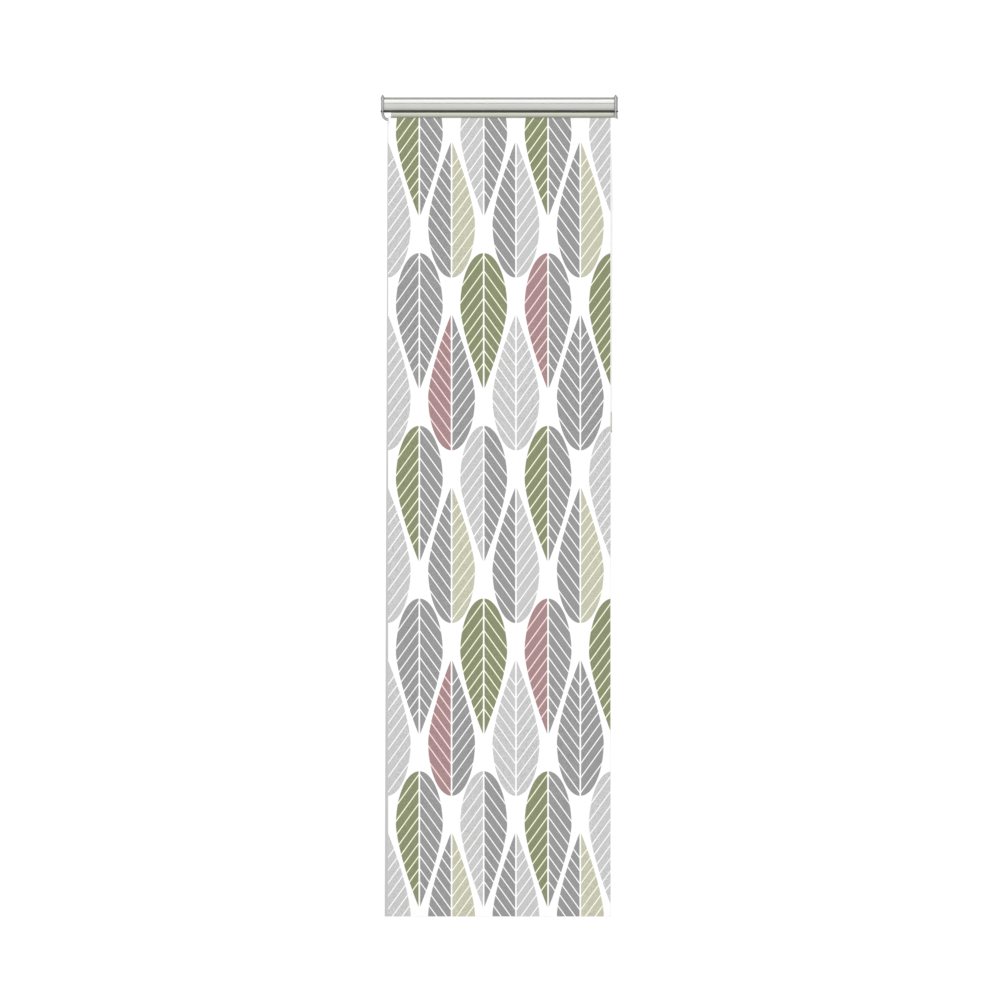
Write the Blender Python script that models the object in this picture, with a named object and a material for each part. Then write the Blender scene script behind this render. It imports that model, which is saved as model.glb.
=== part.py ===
"""A printed panel curtain hanging from its wall rail.

X runs across the panel, -Y faces the room and +Z is up. The origin is the middle of
the flat pad on the rail's back, which lies against the wall. Section outlines are
written as (forward, down) in millimetres: forward of the wall, and down from the top
of the rail.
"""

import math

import bmesh
import bpy
from mathutils import Vector

MM = 0.001
GAP = 0.3  # between pieces that touch
CLOTH_GAP = 0.35  # and between the cloth, whose faces aren't quite flat, and its neighbours

# The rail's section
RAIL_DEPTH = 34.0
WALL = 1.4
PAD_TOP, PAD_BOTTOM = 21.0, 41.0  # the flat pad that meets the wall
PAD_MIDDLE = (PAD_TOP + PAD_BOTTOM) / 2
CLIP_RECESS = 1.8  # the back above the pad, set off the wall for the clips' legs
NOSE_RADIUS = 2.5
NOSE_FORWARD = 27.9
BAND_TOP, BAND_BOTTOM = 5.4, 15.2  # the flat upper band of the front
UPPER_FORWARD = 31.6  # where that band starts, leaning out to STEP_FORWARD
STEP_FORWARD = 33.4
STEP_DEPTH = 0.8
BULGE_TOP, BULGE_BOTTOM = 16.6, 35.2  # the rounded lower band
BULGE_PEAK, BULGE_RISE = 0.45, 0.15  # where it is fullest, and its rise to there
BULGE_TURN = 3.0  # the higher, the later it turns under
FOOT_FORWARD = 30.5  # the lower band's lower edge
LEDGE_FORWARD = 29.0
SLOT_BACK, SLOT_FRONT = 14.0, 24.0  # the channel's open slot
STEM_FORWARD = (SLOT_BACK + SLOT_FRONT) / 2

# Lengths along X
RAIL_HALF = 316.5
END_PLATE = 1.5
STUD_HALF, STRIP_HALF = 319.1, 319.3
STUD_RADIUS = 2.4

# The dark strip under the rail's front
STRIP_BACK, STRIP_FRONT = 26.8, 29.3
STRIP_HEIGHT = 4.9
STRIP_CHAMFER = 0.8

# The carrier bar
BAR_LEFT, BAR_RIGHT = -291.5, 309.0
BAR_TOP, BAR_BOTTOM = 40.7, 54.7
BAR_BACK, BAR_FRONT = 13.5, 28.8
BAR_LIP = 1.2  # the small corner at its front's top
BAR_FULLEST, BAR_LEAN = 46.2, 1.4  # where its front stands out most, and by how much
BAR_TUCK = 2.4  # how far the front turns under below that
BAR_CORNER = 3.0  # the back's corners
HEAD_WIDTH, HEAD_HEIGHT = 17.0, 2.2
STEM = 3.2
CLAMP_DEPTH = 3.1

# The clips
CLIP_X = 313.2
CLIP_LEG = CLIP_RECESS - GAP
RIDGE_FLAT = 1.2  # half-width of the flat along a clip's ridge
NOTCH_HALF = 1.9  # and of all of it where the dark strip's end passes on both sides
TAIL_ACROSS, TAIL_DROP = 13.9, 18.4  # the curl of the left clip's tail
TAIL_TAPER = 0.9

# The cloth
HANG = 24.5  # how far forward of the wall the cloth hangs
CLOTH = 1.2  # its thickness
CLOTH_TOP, CLOTH_FOOT = BAR_BOTTOM - CLAMP_DEPTH + CLOTH_GAP, 2203.0
PRINT_LEFT, PRINT_RIGHT = -299.4, 298.7
SELVEDGE = 0.8  # the plain edge beyond the print, at its narrowest
LEFT_SPREAD = 7.8  # what the left selvedge opens to at the foot
RIGHT_SPREAD = 4.6  # what the right one opens to below the head
LEFT_LEAN, RIGHT_LEAN = 1.1, 0.8  # how far a selvedge falls back for its width
COLUMNS, ROWS = 18, 36

# The cloth's slow waves, each growing from nothing at the head
WAVES = (
    # height, length, phase
    (3.6, 520.0, 0.10),
    (1.4, 275.0, 0.36),
)
SWAY, SWAY_TURNS = 3.0, 1.45  # the whole panel's bow, down its drop
TWIST = 3.0  # left edge back, right edge forward, at the foot
GROWTH = 1.4

# The tab sewn behind the right edge
TAB_TOP, TAB_HEIGHT = 845.0, 56.0
TAB_INSET, TAB_REACH = 9.0, 4.4  # behind the cloth, and beyond the print
TAB_THICKNESS, TAB_FOLD_THICKNESS = 1.0, 1.5
TAB_FOLD = 5.0  # height of the turned end at its foot


def clear_scene():
    for item in list(bpy.data.objects):
        bpy.data.objects.remove(item, do_unlink=True)


def material(name, colour, roughness, metallic=0.0):
    made = bpy.data.materials.new(name)
    made.use_nodes = True
    shader = made.node_tree.nodes["Principled BSDF"]
    shader.inputs["Base Color"].default_value = (*colour, 1.0)
    shader.inputs["Roughness"].default_value = roughness
    shader.inputs["Metallic"].default_value = metallic
    return made


def place(x, forward, down):
    """A point of the part, from millimetres across, forward of the wall and down."""
    return Vector((x, -forward, PAD_MIDDLE - down)) * MM


def add_object(name, mesh_data, finish, parent=None):
    """Makes the object of a bmesh, with its faces pointing out."""
    bmesh.ops.recalc_face_normals(mesh_data, faces=mesh_data.faces)
    if mesh_data.calc_volume(signed=True) < 0:
        bmesh.ops.reverse_faces(mesh_data, faces=mesh_data.faces)
    mesh = bpy.data.meshes.new(name)
    mesh_data.to_mesh(mesh)
    mesh_data.free()
    mesh.materials.append(finish)
    made = bpy.data.objects.new(name, mesh)
    bpy.context.collection.objects.link(made)
    made.parent = parent
    return made


def prism(name, outline, left, right, finish, parent=None):
    """Extrudes a (forward, down) outline along X."""
    shape = bmesh.new()
    first = [shape.verts.new(place(left, f, d)) for f, d in outline]
    start = shape.faces.new(first)
    grown = bmesh.ops.extrude_face_region(shape, geom=[start])
    moved = [v for v in grown["geom"] if isinstance(v, bmesh.types.BMVert)]
    bmesh.ops.translate(shape, verts=moved, vec=Vector(((right - left) * MM, 0, 0)))
    return add_object(name, shape, finish, parent)


def arc(forward, down, radius, start, end, steps):
    """Points round a circle: 0 degrees is forward, 90 is up."""
    points = []
    for i in range(steps + 1):
        angle = math.radians(start + (end - start) * i / steps)
        points.append((forward + radius * math.cos(angle), down - radius * math.sin(angle)))
    return points


def bulge_forward(share):
    """How far forward the lower front band stands, that share of the way down it."""
    if share < BULGE_PEAK:
        return RAIL_DEPTH - BULGE_RISE * ((BULGE_PEAK - share) / BULGE_PEAK) ** 2
    fall = (share - BULGE_PEAK) / (1 - BULGE_PEAK)
    return RAIL_DEPTH - (RAIL_DEPTH - FOOT_FORWARD) * fall ** BULGE_TURN


def bulge(shares, inset=0.0):
    """Points down the lower band, or inside it, at the given shares of its height."""
    height = BULGE_BOTTOM - BULGE_TOP
    return [(bulge_forward(share) - inset, BULGE_TOP + height * share) for share in shares]


def rail_front():
    """The rail's outside, from the top of its back over the nose to its lower edge."""
    nose = arc(NOSE_FORWARD, NOSE_RADIUS, NOSE_RADIUS, 90, -60, 8)
    return [
        (CLIP_RECESS, PAD_TOP),
        (CLIP_RECESS, 0.0),
        *nose,
        (NOSE_FORWARD + 0.9, BAND_TOP - 0.1),
        (UPPER_FORWARD, BAND_TOP),
        (UPPER_FORWARD + 0.6 * (STEP_FORWARD - UPPER_FORWARD), (BAND_TOP + BAND_BOTTOM) / 2),
        (STEP_FORWARD, BAND_BOTTOM),
        (STEP_FORWARD - STEP_DEPTH, BAND_BOTTOM + 0.5 * STEP_DEPTH),
        *bulge([i / 9 for i in range(10)]),
        (LEDGE_FORWARD, BULGE_BOTTOM),
    ]


def head_rail(finish, parent):
    """A channel open below: its two lower ledges carry the carrier's head."""
    ledge_top = BULGE_BOTTOM - WALL
    inside = [
        (SLOT_FRONT, BULGE_BOTTOM),
        (SLOT_FRONT, ledge_top),
        (LEDGE_FORWARD, ledge_top),
        *bulge((0.9, 0.75, 0.5, 0.1), inset=WALL),
        (UPPER_FORWARD - WALL, BAND_TOP + WALL),
        (NOSE_FORWARD - WALL, BAND_TOP + WALL),
        (NOSE_FORWARD - NOSE_RADIUS, WALL),
        (CLIP_RECESS + WALL, WALL),
        (CLIP_RECESS + WALL, PAD_TOP + WALL),
        (WALL, PAD_TOP + WALL),
        (WALL, ledge_top),
        (SLOT_BACK, ledge_top),
        (SLOT_BACK, BULGE_BOTTOM),
        (WALL, BULGE_BOTTOM),
        (WALL, PAD_BOTTOM),
    ]
    outline = [(0.0, PAD_BOTTOM), (0.0, PAD_TOP), *rail_front(), *inside]
    return prism("head_rail", outline, -RAIL_HALF, RAIL_HALF, finish, parent)


def rail_strip(finish, parent):
    top = BULGE_BOTTOM + GAP
    outline = [
        (STRIP_BACK, top),
        (STRIP_FRONT, top),
        (STRIP_FRONT, top + STRIP_HEIGHT - STRIP_CHAMFER),
        (STRIP_FRONT - STRIP_CHAMFER, top + STRIP_HEIGHT),
        (STRIP_BACK, top + STRIP_HEIGHT),
    ]
    return prism("rail_strip", outline, -STRIP_HALF, STRIP_HALF, finish, parent)


def rail_end(side, finish, parent):
    """A plate with the rail's outline, and a stud that shows outside the clip."""
    name = "rail_end_left" if side < 0 else "rail_end_right"
    inner = side * (RAIL_HALF + GAP)
    outer = inner + side * END_PLATE
    outline = [(0.0, BULGE_BOTTOM), (0.0, PAD_TOP), *rail_front()]
    plate = prism(name, outline, min(inner, outer), max(inner, outer), finish, parent)
    circle = arc(NOSE_FORWARD, NOSE_RADIUS, STUD_RADIUS, 0, 337.5, 15)
    root, tip = (inner + outer) / 2, side * STUD_HALF
    stud = prism(name + "_stud", circle, min(root, tip), max(root, tip), finish, parent)
    stud.hide_render = True
    stud.display_type = "WIRE"
    join = plate.modifiers.new("stud", "BOOLEAN")
    join.operation = "UNION"
    join.object = stud
    return plate


def bar_front(steps=6):
    """The bar's front: it leans out to its fullest and then turns under to the cloth."""
    points = arc(BAR_FRONT - BAR_LEAN - BAR_LIP, BAR_TOP + BAR_LIP, BAR_LIP, 75, 15, 2)
    for i in range(steps + 1):
        angle = math.pi / 2 * i / steps
        forward = BAR_FRONT - BAR_TUCK * (1 - math.cos(angle))
        points.append((forward, BAR_FULLEST + (BAR_BOTTOM - BAR_FULLEST) * math.sin(angle)))
    return points


def carrier_bar(finish, parent):
    """A round-fronted bar on a stem, whose head lies on the rail's ledges."""
    low, high = BAR_BOTTOM - BAR_CORNER, BAR_TOP + BAR_CORNER
    head_low = BULGE_BOTTOM - WALL - GAP
    head_back, head_front = STEM_FORWARD - HEAD_WIDTH / 2, STEM_FORWARD + HEAD_WIDTH / 2
    stem_back, stem_front = STEM_FORWARD - STEM / 2, STEM_FORWARD + STEM / 2
    half_clamp = CLOTH / 2 + CLOTH_GAP
    outline = [
        (stem_back, head_low),
        (head_back, head_low),
        (head_back, head_low - HEAD_HEIGHT),
        (head_front, head_low - HEAD_HEIGHT),
        (head_front, head_low),
        (stem_front, head_low),
        (stem_front, BAR_TOP),
        *bar_front(),
        (HANG + half_clamp, BAR_BOTTOM),
        (HANG + half_clamp, BAR_BOTTOM - CLAMP_DEPTH),
        (HANG - half_clamp, BAR_BOTTOM - CLAMP_DEPTH),
        (HANG - half_clamp, BAR_BOTTOM),
        *arc(BAR_BACK + BAR_CORNER, low, BAR_CORNER, 255, 180, 4),
        *arc(BAR_BACK + BAR_CORNER, high, BAR_CORNER, 180, 105, 4),
        (stem_back, BAR_TOP),
    ]
    return prism("carrier_bar", outline, BAR_LEFT, BAR_RIGHT, finish, parent)


def clip_path(side):
    """A clip's stations: where its inner face is, which way it faces, and its section.

    Each is (across, forward, down), the section's outward way as (forward, down), the
    turn of its width out of level, half-width, edge thickness and ridge height.
    """
    bends = (
        # forward, down, half-width, edge, ridge
        (CLIP_LEG, 19.0, 4.7, CLIP_LEG, CLIP_LEG),
        (CLIP_LEG, -GAP, 4.7, CLIP_LEG, CLIP_LEG),
        (11.0, -GAP, 5.0, 1.2, 3.6),
        (25.0, -GAP, 5.4, 1.0, 6.4),
        (30.2, -GAP, 5.4, 1.0, 5.4),
        (33.9, 5.0, 4.8, 1.0, 2.4),
        (RAIL_DEPTH + GAP, 10.0, 4.0, 1.0, 2.2),
        (RAIL_DEPTH + GAP, 16.0, 4.7, 1.0, 2.2),
        (RAIL_DEPTH + GAP, 28.6, 4.7, 1.0, 2.2),
        (33.3, 32.5, 4.7, 1.0, 2.2),
        (32.4, 34.3, 4.6, 1.0, 2.2),
        (32.1, 35.3, NOTCH_HALF, 1.0, 2.2),
        (31.5, 40.6, NOTCH_HALF, 1.0, 2.2),
        (31.4, 41.6, 4.4, 1.0, 2.2),
    )
    stations = []
    for i, (forward, down, width, edge, ridge) in enumerate(bends):
        before = Vector(bends[max(i - 1, 0)][:2])
        after = Vector(bends[min(i + 1, len(bends) - 1)][:2])
        here = Vector((forward, down))
        ways = [step.normalized() for step in (here - before, after - here) if step.length > 0]
        outward = sum((Vector((way.y, -way.x)) for way in ways), Vector((0, 0))) / len(ways)
        outward /= outward.length_squared
        stations.append((side * CLIP_X, forward, down, outward.x, outward.y, 0.0, width, edge, ridge))
    foot = bends[-1]
    return stations + (tail(foot) if side < 0 else splayed_foot(foot))


def tail(foot, steps=9):
    """The left clip's tail: a quarter of an ellipse that curls in under the bar's end."""
    forward, top, width, edge, ridge = foot
    points = []
    for i in range(1, steps + 1):
        angle = math.pi / 2 * i / steps
        x = -CLIP_X + TAIL_ACROSS * (1 - math.cos(angle))
        down = top + TAIL_DROP * math.sin(angle)
        turn = math.atan2(TAIL_ACROSS * math.sin(angle), TAIL_DROP * math.cos(angle))
        half = width - TAIL_TAPER * i / steps
        points.append((x, forward, down, 1.0, 0.0, turn, half, edge, ridge))
    return points


def splayed_foot(foot):
    """The right clip's short foot, which opens out and slants."""
    forward, top, _, edge, ridge = foot
    rows = (
        # inward, below, turn in degrees, half-width
        (0.2, 3.9, -3.0, 4.8),
        (0.8, 9.9, -9.0, 6.2),
        (1.4, 14.4, -14.0, 7.5),
    )
    return [
        (CLIP_X - inward, forward, top + below, 1.0, 0.0, math.radians(turn), half, edge, ridge)
        for inward, below, turn, half in rows
    ]


def loft(shape, rings):
    """Closes a row of sections, each a ring of as many points, into one solid."""
    for first, second in zip(rings, rings[1:]):
        for i in range(len(first)):
            j = (i + 1) % len(first)
            shape.faces.new((first[i], first[j], second[j], second[i]))
    shape.faces.new(rings[0])
    shape.faces.new(rings[-1])


def rail_clip(side, finish, parent):
    """A ridged band from the wall over the rail and down its front."""
    shape = bmesh.new()
    rings = []
    for x, forward, down, out_forward, out_down, turn, width, edge, ridge in clip_path(side):
        centre = place(x, forward, down)
        level = Vector((math.cos(turn), 0, math.sin(turn))) * MM
        outward = Vector((0, -out_forward, -out_down)) * MM
        section = (
            (-width, 0.0),
            (width, 0.0),
            (width, edge),
            (RIDGE_FLAT, ridge),
            (-RIDGE_FLAT, ridge),
            (-width, edge),
        )
        rings.append([shape.verts.new(centre + level * a + outward * b) for a, b in section])
    loft(shape, rings)
    name = "rail_clip_left" if side < 0 else "rail_clip_right"
    return add_object(name, shape, finish, parent)


def smooth(value):
    value = min(1.0, max(0.0, value))
    return value * value * (3 - 2 * value)


def cloth_forward(x, share):
    """How far forward the cloth hangs at x, that share of the way down."""
    waves = sum(h * math.sin(math.tau * (x / length + phase)) for h, length, phase in WAVES)
    sway = SWAY * math.sin(math.pi * SWAY_TURNS * share)
    twist = TWIST * x / PRINT_RIGHT
    return HANG + (waves + sway + twist) * share ** GROWTH


def left_selvedge(share):
    return SELVEDGE + LEFT_SPREAD * share


def right_selvedge(share):
    """Widest just below the head, and closed again two thirds of the way down."""
    opened = smooth(share / 0.1) * smooth((0.62 - share) / 0.5)
    return SELVEDGE + RIGHT_SPREAD * opened


def cloth_row(share):
    """One level row of the cloth, from its left edge to its right, as (x, forward)."""
    settled = smooth(share / 0.04)
    left, right = left_selvedge(share), right_selvedge(share)
    span = PRINT_RIGHT - PRINT_LEFT
    row = [(PRINT_LEFT + span * i / COLUMNS) for i in range(COLUMNS + 1)]
    points = [(x, cloth_forward(x, share)) for x in row]
    first, last = points[0], points[-1]
    points.insert(0, (first[0] - left, first[1] - LEFT_LEAN * left * settled))
    points.append((last[0] + right, last[1] - RIGHT_LEAN * right * settled))
    return points


def cloth_panel(finish, parent):
    """The hanging sheet, made on its middle surface and thickened evenly both ways."""
    shape = bmesh.new()
    grid = []
    for i in range(ROWS + 1):
        share = i / ROWS
        down = CLOTH_TOP + (CLOTH_FOOT - CLOTH_TOP) * share
        grid.append([shape.verts.new(place(x, forward, down)) for x, forward in cloth_row(share)])
    for upper, lower in zip(grid, grid[1:]):
        for i in range(len(upper) - 1):
            shape.faces.new((upper[i], upper[i + 1], lower[i + 1], lower[i]))
    panel = add_object("cloth_panel", shape, finish, parent)
    thick = panel.modifiers.new("cloth", "SOLIDIFY")
    thick.thickness = CLOTH * MM
    thick.offset = 0.0
    thick.use_even_offset = True
    return panel


def behind_cloth(x, share):
    """How far forward a face may stand at x, just behind the cloth's back."""
    beyond = max(0.0, x - PRINT_RIGHT)
    slope = RIGHT_LEAN if x >= PRINT_RIGHT else 0.0
    clear = (CLOTH / 2 + CLOTH_GAP) * math.hypot(1.0, slope)
    return cloth_forward(min(x, PRINT_RIGHT), share) - slope * beyond - clear


def side_tab(finish, parent):
    """A folded tape behind the right edge: its foot is turned up and a little thicker."""
    fold = TAB_HEIGHT - TAB_FOLD
    levels = (
        # below the tab's top, thickness
        (0.0, TAB_THICKNESS),
        (fold / 2, TAB_THICKNESS),
        (fold, TAB_THICKNESS),
        (fold + 0.6, TAB_FOLD_THICKNESS),
        (TAB_HEIGHT, TAB_FOLD_THICKNESS),
    )
    across = (PRINT_RIGHT - TAB_INSET, PRINT_RIGHT, PRINT_RIGHT + TAB_REACH)
    shape = bmesh.new()
    rings = []
    for below, thickness in levels:
        down = TAB_TOP + below
        share = (down - CLOTH_TOP) / (CLOTH_FOOT - CLOTH_TOP)
        front = [(x, behind_cloth(x, share)) for x in across]
        back = [(x, forward - thickness) for x, forward in reversed(front)]
        rings.append([shape.verts.new(place(x, forward, down)) for x, forward in front + back])
    loft(shape, rings)
    return add_object("side_tab", shape, finish, parent)


def build():
    clear_scene()
    silver = material("silver_aluminium", (0.62, 0.62, 0.60), 0.32, 1.0)
    steel = material("clip_metal", (0.52, 0.52, 0.51), 0.35, 1.0)
    dark = material("dark_strip", (0.05, 0.05, 0.045), 0.6)
    grey = material("end_plate", (0.42, 0.42, 0.42), 0.45)
    cream = material("cream_bar", (0.66, 0.66, 0.55), 0.4)
    cloth = material("white_cloth", (0.9, 0.9, 0.9), 0.9)
    beige = material("beige_tape", (0.62, 0.62, 0.56), 0.85)

    hanger = bpy.data.objects.new("hanger", None)
    bpy.context.collection.objects.link(hanger)
    head_rail(silver, hanger)
    rail_strip(dark, hanger)
    carrier_bar(cream, hanger)
    cloth_panel(cloth, hanger)
    side_tab(beige, hanger)
    for side in (-1, 1):
        rail_end(side, grey, hanger)
        rail_clip(side, steel, hanger)


build()
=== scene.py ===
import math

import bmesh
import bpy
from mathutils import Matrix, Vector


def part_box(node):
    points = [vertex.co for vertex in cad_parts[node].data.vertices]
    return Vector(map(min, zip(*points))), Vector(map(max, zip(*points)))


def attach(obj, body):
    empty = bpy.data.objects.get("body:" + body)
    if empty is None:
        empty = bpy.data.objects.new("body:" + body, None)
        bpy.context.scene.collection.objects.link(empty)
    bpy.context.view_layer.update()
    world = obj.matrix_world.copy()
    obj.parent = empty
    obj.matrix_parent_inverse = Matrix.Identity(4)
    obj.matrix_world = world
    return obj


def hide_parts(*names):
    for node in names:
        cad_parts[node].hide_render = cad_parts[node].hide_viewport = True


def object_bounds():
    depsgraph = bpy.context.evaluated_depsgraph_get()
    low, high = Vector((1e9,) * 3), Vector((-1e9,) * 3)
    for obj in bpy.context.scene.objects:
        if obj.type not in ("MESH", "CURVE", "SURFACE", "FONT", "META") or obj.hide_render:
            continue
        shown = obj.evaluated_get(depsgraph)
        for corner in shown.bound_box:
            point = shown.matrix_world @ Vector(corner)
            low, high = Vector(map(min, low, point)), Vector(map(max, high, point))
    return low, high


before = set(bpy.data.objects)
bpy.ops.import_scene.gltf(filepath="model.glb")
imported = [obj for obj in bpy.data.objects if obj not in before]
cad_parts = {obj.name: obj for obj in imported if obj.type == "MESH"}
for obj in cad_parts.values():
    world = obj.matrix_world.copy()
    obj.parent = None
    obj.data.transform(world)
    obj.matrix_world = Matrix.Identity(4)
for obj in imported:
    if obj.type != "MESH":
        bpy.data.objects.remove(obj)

# The looks of a printed panel curtain that hangs from its head rail.
#
# As in the frame, X runs across the panel, -Y faces the room and +Z is up. Section
# outlines are (forward, down) in millimetres: forward of the wall, and down from the
# rail's top. Lengths, ends and edges come from the boxes of the frame's nodes.

MM = 0.001
CAD_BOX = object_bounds()


def span(node):
    """A node's lowest and highest corner, in millimetres."""
    return [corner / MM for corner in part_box(node)]


RAIL_LOW, RAIL_HIGH = span("head_rail")
STRIP_LOW, STRIP_HIGH = span("rail_strip")
BAR_LOW, BAR_HIGH = span("carrier_bar")
END_LOW, END_HIGH = span("rail_end_right")
CLOTH_LOW, CLOTH_HIGH = span("cloth_panel")
TAB_LOW, TAB_HIGH = span("side_tab")
TOP = RAIL_HIGH.z

# The rail's section
RAIL_DEPTH = -RAIL_LOW.y
WALL = 1.4
PAD_TOP, PAD_BOTTOM = 21.0, TOP - RAIL_LOW.z
CLIP_RECESS = 1.8
NOSE_RADIUS = 2.5
NOSE_FORWARD = 27.9
BAND_TOP, BAND_BOTTOM = 5.6, 15.2  # the flat upper band of the front
UPPER_FORWARD, STEP_FORWARD = 31.7, 33.4
BAND_CROWN = 0.12  # how far that band swells
ROLL, ROLL_HEIGHT = 2.0, 1.9  # how far its foot turns under, and over what height
BULGE_TOP, BULGE_BOTTOM = 17.4, 34.8  # the rounded lower band
BULGE_PEAK, BULGE_RISE = 0.45, 0.15  # the share down it where it is fullest, and by how much
BULGE_TURN = 4.6  # how late it turns under below that
FOOT_FORWARD = 30.5
LEDGE_FORWARD = 29.0
SLOT_BACK, SLOT_FRONT = 14.0, 24.0
STEM_FORWARD = (SLOT_BACK + SLOT_FRONT) / 2
END_PLATE = 1.5
STUD_RADIUS = 2.4

# The carrier bar's section
HANG = 24.5  # how far forward the cloth hangs
BAR_TOP, BAR_BOTTOM = 40.5, TOP - BAR_LOW.z  # its body, below the stem
BAR_BACK, BAR_FRONT = 13.5, -BAR_LOW.y
BAR_LIP = 0.6  # the small corner at its front's top
BAR_FULLEST, BAR_LEAN = 46.2, 1.4  # where its front stands out most, and by how much
BAR_TUCK = 3.0  # how far the front turns under below that
BAR_CORNER = 3.0  # the back's corners
HEAD_WIDTH, HEAD_HEIGHT = 17.0, 2.2
HEAD_TOP = TOP - BAR_HIGH.z
STEM = 3.2
CLAMP_DEPTH, CLAMP_WIDTH = 3.1, 1.9  # the slot that grips the cloth

# The clips
GAP = 0.3
LEFT_CLIP, RIGHT_CLIP = -313.9, 312.8  # their middles
SLIM = 0.87  # the left one's width, as a share of the right one's
CLIP_LEG = CLIP_RECESS - GAP
RIDGE_FLAT = 1.2  # half the width of a ridge's crest
RIDGE_LIT_FROM = 0.6  # a ridge takes the paler ridge colour from here down; above this, the clip's top takes the darker flank colour as painted shade
NOTCH_TOP, NOTCH_BOTTOM = 34.6, 41.2  # between these the whole clip takes the paler ridge colour, as painted light
NOTCH_HALF = 1.9  # half-width where the dark strip's end passes on both sides
TAIL_ACROSS, TAIL_DROP, TAIL_TAPER = 14.5, 18.2, 0.4

# The cloth
CLOTH = 1.2
CLOTH_TOP, CLOTH_FOOT = TOP - CLOTH_HIGH.z, TOP - CLOTH_LOW.z
PRINT_LEFT, PRINT_RIGHT = -299.4, 298.7
SELVEDGE = 0.8  # the least width of a selvedge
LEFT_SPREAD, RIGHT_SPREAD = 7.8, 4.6  # how much wider each gets
LEFT_LEAN, RIGHT_LEAN = 1.1, 0.8  # how far back each leans for every millimetre out
WAVES = (
    # height, length, phase
    (3.6, 520.0, 0.10),
    (1.4, 275.0, 0.36),
)
SWAY, SWAY_TURNS = 3.0, 1.45  # the bow of its length, and how many half waves that has
TWIST = 3.0
GROWTH = 1.4  # how late down the cloth its waves grow
COLUMNS, ROWS = 72, 240

# The tab
TAB_THICKNESS, TAB_FOLD_THICKNESS, TAB_FOLD = 1.0, 1.5, 5.0
TAB_CLEAR = 0.35  # from the cloth

# The print: rows of leaves, in columns that stand round end up (A) and tip up (B)
LEAF_PITCH, LEAF_DROP = 173.15, 464.65  # between two columns of a kind, and two rows
A_ACROSS, A_DOWN = -215.3, -46.0  # the first A column, and the top of its first leaf
B_ACROSS, B_DOWN = -301.7, 115.1
LEAF_LENGTH, LEAF_HALF = 369.7, 63.0
LEAF_WIDEST = 145.3  # from the round end
LEAF_TAPER = 1.42
MIDRIB, VEIN = 4.3, 3.0
FIRST_VEIN, VEIN_PITCH = 6.8, 34.5
VEIN_SPREAD, VEIN_FADE = 12.9, 1.6  # the first veins stand further apart
VEINS = 9
VEIN_SLOPE = 1.39
PRINT_EDGE = 0.7  # over how much an edge of the print blurs
GRAIN, DRIFT = 1.35, 0.12  # how unevenly the ink takes, finely and broadly
RIB_TINT = 0.68  # how much of an ink's hue its leaf's veins take up

PAINTS = {
    # red, green and blue, as a screen shows them
    "green": (142, 148, 111),
    "grey": (157, 157, 157),
    "pale": (209, 209, 209),
    "beige": (206, 205, 183),
    "rose": (176, 140, 142),
}
A_LEAVES = (
    # even rows of the print, then odd ones: each leaf's left and right half
    (("green", "grey"), ("pale", "grey"), ("green", "grey"), ("pale", "pale")),
    (("grey", "grey"), ("green", "green"), ("rose", "grey"), ("green", "green")),
)
B_LEAVES = (
    (("grey", "pale"), ("grey", "beige"), ("grey", "pale"), ("grey", "beige")),
    (("pale", "pale"), ("rose", "grey"), ("pale", "pale"), ("grey", "grey")),
)
DAYLIGHT = 1.25  # how bright a white face that looks at the room comes out
GROUND, RIB_WHITE = 0.88, 0.86  # the cloth's white, and the whitest of its veins
LEFT_SELVEDGE_SHADE, RIGHT_SELVEDGE_SHADE = 0.50, 0.93  # painted shade on the selvedges, which lean back: the left one grey, the right one a little under the ground's white
BACK_STRENGTH = 0.35  # how much of the print shows on the back
TAPE, FOLD_TONE = (0.54, 0.545, 0.50), 0.68

# The bar's cream, its level at the top, and the heights from which it darkens: painted light and shade,
# palest on its upper lip and darker down its front
CREAM = (0.52, 0.525, 0.44)
CREAM_TONE = 1.1
CREAM_PAINTED_SHADE = (
    # down from, over, by
    (43.0, 4.0, 0.22),
    (49.6, 1.2, 0.27),
)


# ---- shapes


def place(x, forward, down):
    return Vector((x, -forward, TOP - down)) * MM


def add_object(name, shape, *finishes):
    """Makes the object of a bmesh, with its faces pointing out and shaded smooth."""
    bmesh.ops.recalc_face_normals(shape, faces=shape.faces)
    if shape.calc_volume(signed=True) < 0:
        bmesh.ops.reverse_faces(shape, faces=shape.faces)
    mesh = bpy.data.meshes.new(name)
    shape.to_mesh(mesh)
    shape.free()
    for finish in finishes:
        mesh.materials.append(finish)
    mesh.shade_smooth()
    mesh.set_sharp_from_angle(angle=math.radians(50))
    made = bpy.data.objects.new(name, mesh)
    bpy.context.scene.collection.objects.link(made)
    return made


def soften(piece, width, angle=35.0):
    """Rounds a piece's edges by that many millimetres."""
    rounded = piece.modifiers.new("edges", "BEVEL")
    rounded.width = width * MM
    rounded.segments = 3
    rounded.limit_method = "ANGLE"
    rounded.angle_limit = math.radians(angle)
    rounded.harden_normals = True
    return piece


def finish_piece(piece, slot, *nodes):
    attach(piece, "root")
    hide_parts(*nodes)
    return piece


def prism(name, outline, left, right, finish):
    """Extrudes a (forward, down) outline along X."""
    shape = bmesh.new()
    start = shape.faces.new([shape.verts.new(place(left, f, d)) for f, d in outline])
    grown = bmesh.ops.extrude_face_region(shape, geom=[start])
    moved = [v for v in grown["geom"] if isinstance(v, bmesh.types.BMVert)]
    bmesh.ops.translate(shape, verts=moved, vec=Vector((right - left, 0, 0)) * MM)
    return add_object(name, shape, finish)


def arc(forward, down, radius, start, end, steps):
    """Points round a circle: 0 degrees is forward, 90 is up."""
    points = []
    for i in range(steps + 1):
        angle = math.radians(start + (end - start) * i / steps)
        points.append((forward + radius * math.cos(angle), down - radius * math.sin(angle)))
    return points


def smooth(value):
    value = min(1.0, max(0.0, value))
    return value * value * (3 - 2 * value)


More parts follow.
